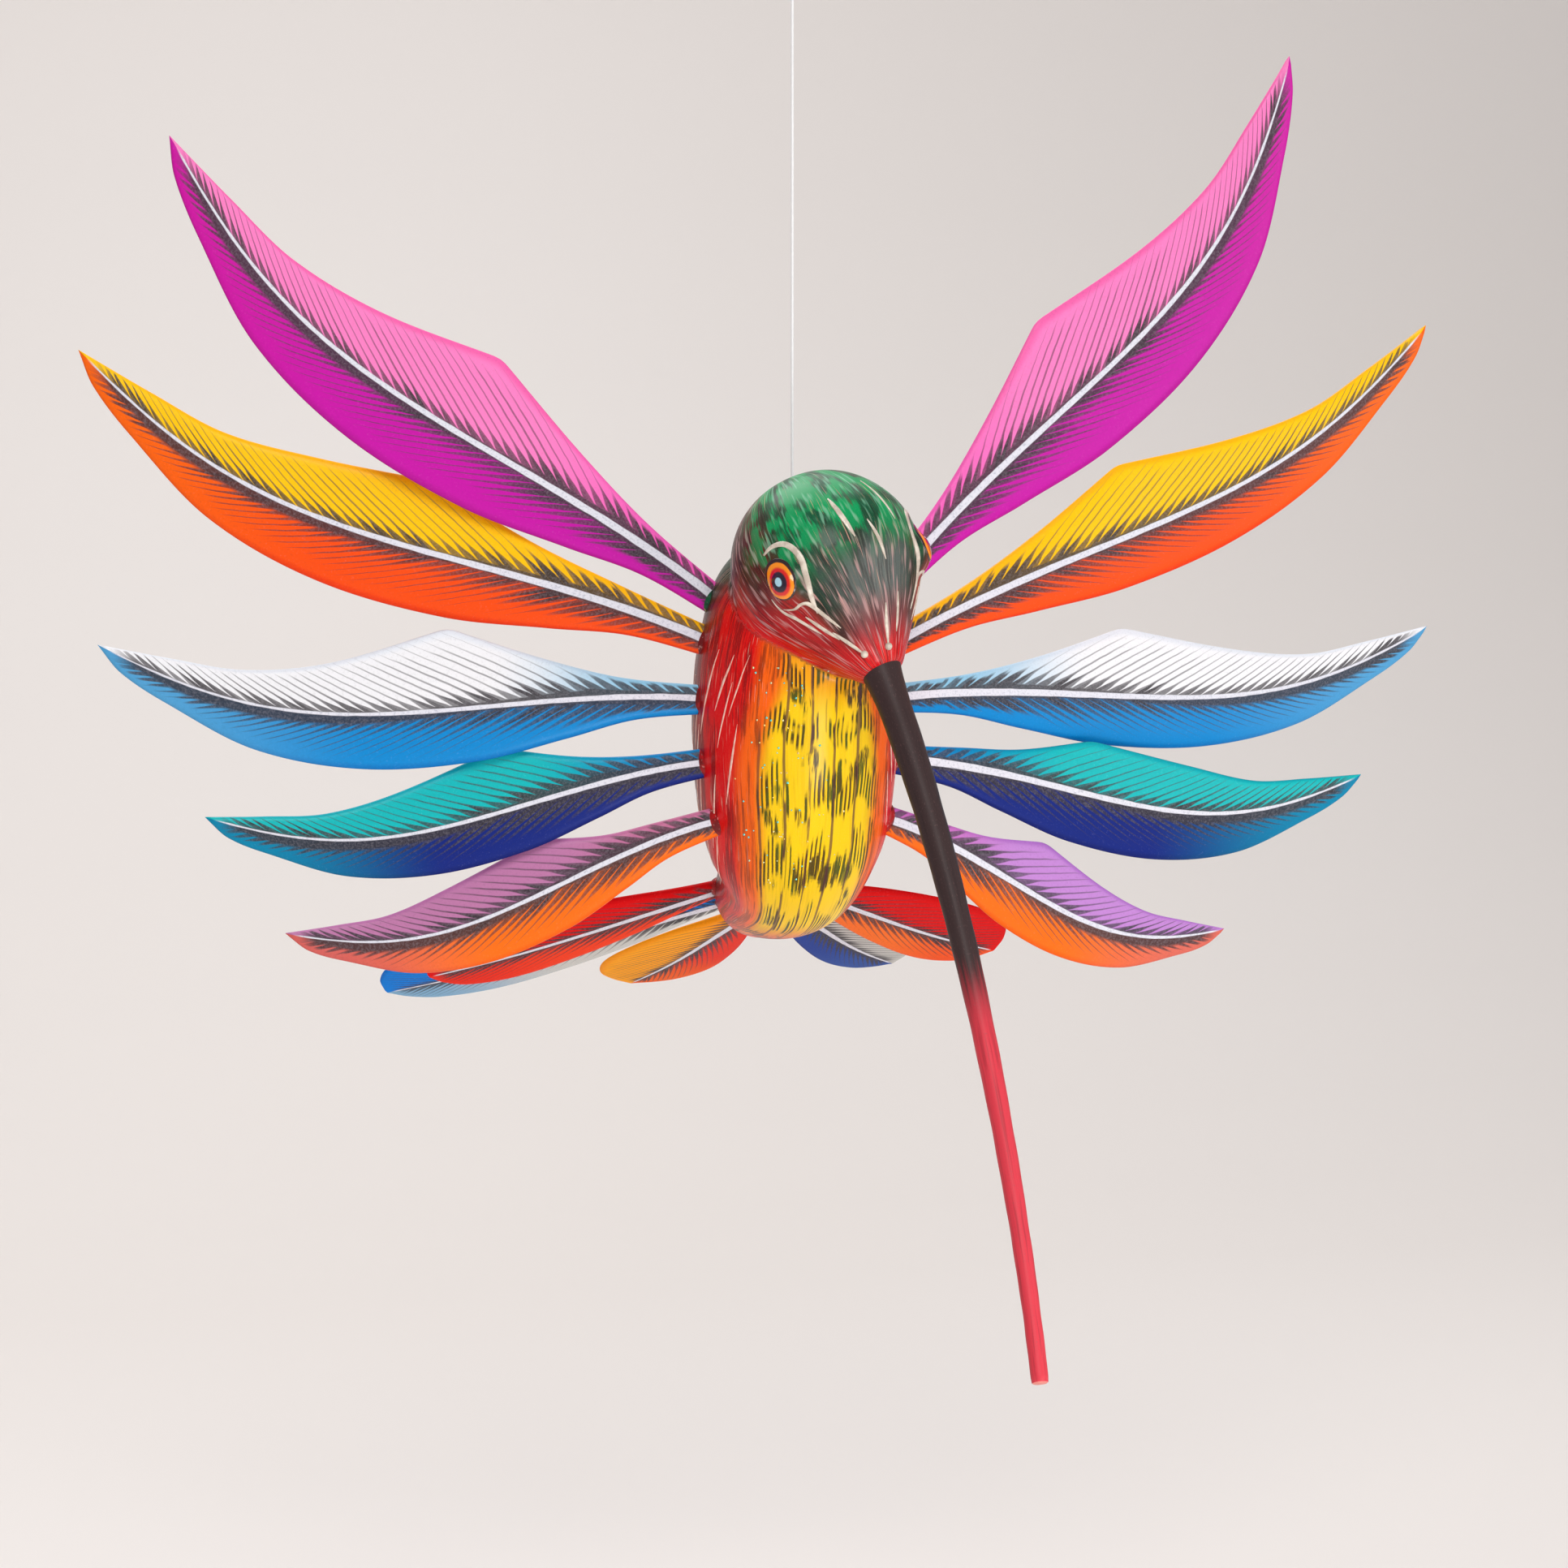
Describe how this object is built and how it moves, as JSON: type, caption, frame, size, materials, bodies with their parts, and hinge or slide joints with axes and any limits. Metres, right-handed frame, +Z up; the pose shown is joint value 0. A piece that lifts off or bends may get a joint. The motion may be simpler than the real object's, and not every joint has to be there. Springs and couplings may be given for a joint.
{
  "type": "alebrije hummingbird",
  "caption": "Hanging carved and painted wooden hummingbird with slatted wings, a fanned tail and a long curved beak, on a clear nylon line.",
  "frame": {"origin": "the point inside the upper loop of the line that bears on a hook", "axes": "+Z up along the line; the bird faces -Y and its right-hand side in the picture is +X"},
  "size_m": [0.2736, 0.1876, 0.272],
  "materials": {
    "body_paint": "gloss",
    "beak_paint": "satin",
    "magenta_paint": "gloss",
    "yellow_paint": "gloss",
    "white_paint": "gloss",
    "teal_paint": "gloss",
    "purple_paint": "gloss",
    "tail_paint": "gloss",
    "filler_paint": "gloss",
    "plated_steel": "satin",
    "nylon": "gloss"
  },
  "bodies": {
    "hanger": {"upper_loop": "nylon"},
    "upper_tie": {"upper_knot": "nylon"},
    "line": {"nylon_line": "nylon"},
    "lower_tie": {"lower_knot": "nylon"},
    "eye_tie": {"tie_loop": "nylon"},
    "bird": {"carved_body": "body_paint", "beak": "beak_paint", "screw_eye": "plated_steel", "left_magenta_feather": "magenta_paint", "left_magenta_filler": "filler_paint", "left_yellow_feather": "yellow_paint", "left_yellow_filler": "filler_paint", "left_white_feather": "white_paint", "left_white_filler": "filler_paint", "left_teal_feather": "teal_paint", "left_teal_filler": "filler_paint", "left_purple_feather": "purple_paint", "left_purple_filler": "filler_paint", "right_magenta_feather": "magenta_paint", "right_magenta_filler": "filler_paint", "right_yellow_feather": "yellow_paint", "right_yellow_filler": "filler_paint", "right_white_feather": "white_paint", "right_white_filler": "filler_paint", "right_teal_feather": "teal_paint", "right_teal_filler": "filler_paint", "right_purple_feather": "purple_paint", "right_purple_filler": "filler_paint", "tail_left_outer_feather": "tail_paint", "tail_left_outer_filler": "filler_paint", "tail_left_inner_feather": "tail_paint", "tail_left_inner_filler": "filler_paint", "tail_centre_feather": "tail_paint", "tail_centre_filler": "filler_paint", "tail_right_inner_feather": "tail_paint", "tail_right_inner_filler": "filler_paint", "tail_right_outer_feather": "tail_paint", "tail_right_outer_filler": "filler_paint"}
  },
  "joints": [
    {"name": "line_swing", "type": "hinge", "parent": "hanger", "child": "upper_tie", "pos_m": [0, 0, -0.017], "axis": [1, 0, 0], "range_deg": [-25, 25]},
    {"name": "line_sway", "type": "hinge", "parent": "upper_tie", "child": "line", "pos_m": [0, 0, -0.017], "axis": [0, 1, 0], "range_deg": [-25, 25]},
    {"name": "line_twist", "type": "hinge", "parent": "line", "child": "lower_tie", "pos_m": [0, 0, -0.11545], "axis": [0, 0, 1], "continuous": true},
    {"name": "bird_roll", "type": "hinge", "parent": "lower_tie", "child": "eye_tie", "pos_m": [0, 0, -0.11545], "axis": [0, 1, 0], "range_deg": [-12, 12]},
    {"name": "bird_nod", "type": "hinge", "parent": "eye_tie", "child": "bird", "pos_m": [0, 0, -0.1214], "axis": [1, 0, 0], "range_deg": [-12, 12]}
  ]
}
